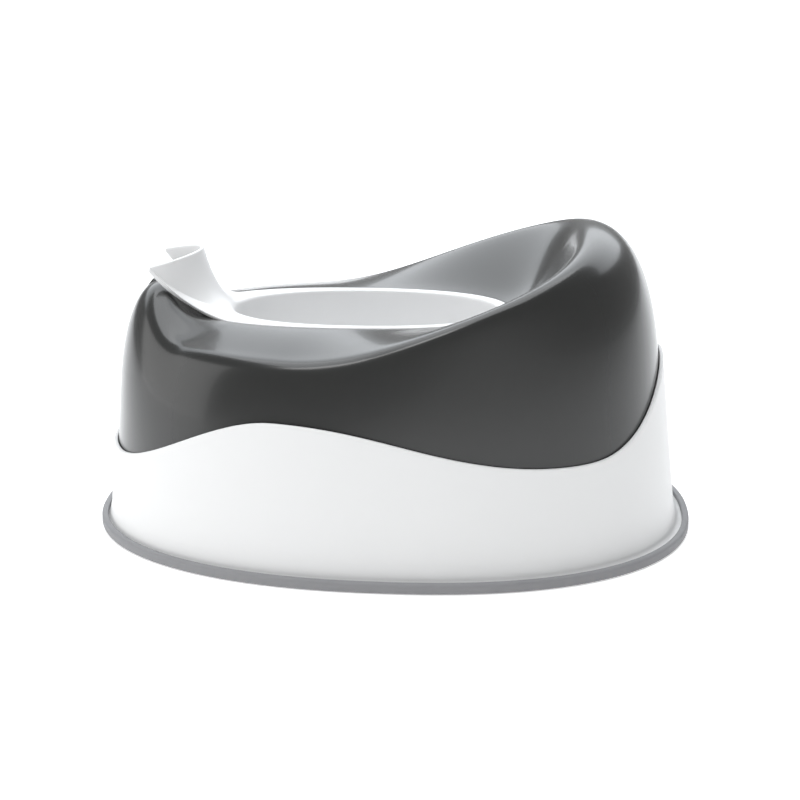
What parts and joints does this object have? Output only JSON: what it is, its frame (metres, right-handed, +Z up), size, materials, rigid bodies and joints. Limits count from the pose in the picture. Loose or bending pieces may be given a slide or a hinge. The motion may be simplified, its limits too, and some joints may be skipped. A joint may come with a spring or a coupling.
{
  "type": "potty training chair",
  "caption": "Low oval potty chair: white skirt on a soft floor ring, dished grey seat with high back, lift-out white bowl with splash guard.",
  "frame": {"origin": "centre of the oval footprint on the floor", "axes": "+Z up, +Y towards the backrest, -Y towards the splash guard, +X sideways"},
  "size_m": [0.2876, 0.38, 0.1905],
  "materials": {
    "soft_grey": "soft matt elastomer",
    "skirt_white": "satin moulded polypropylene",
    "seat_grey": "smooth gloss moulded polypropylene",
    "bowl_white": "smooth semi-gloss moulded polypropylene"
  },
  "bodies": {
    "base": {"floor_ring": "soft_grey", "base_skirt": "skirt_white", "seat_shell": "seat_grey"},
    "bowl": {"bowl": "bowl_white"}
  },
  "joints": [
    {"name": "bowl_lift", "type": "slide", "parent": "base", "child": "bowl", "axis": [0, 0, 1], "range_m": [0, 0.18]}
  ]
}
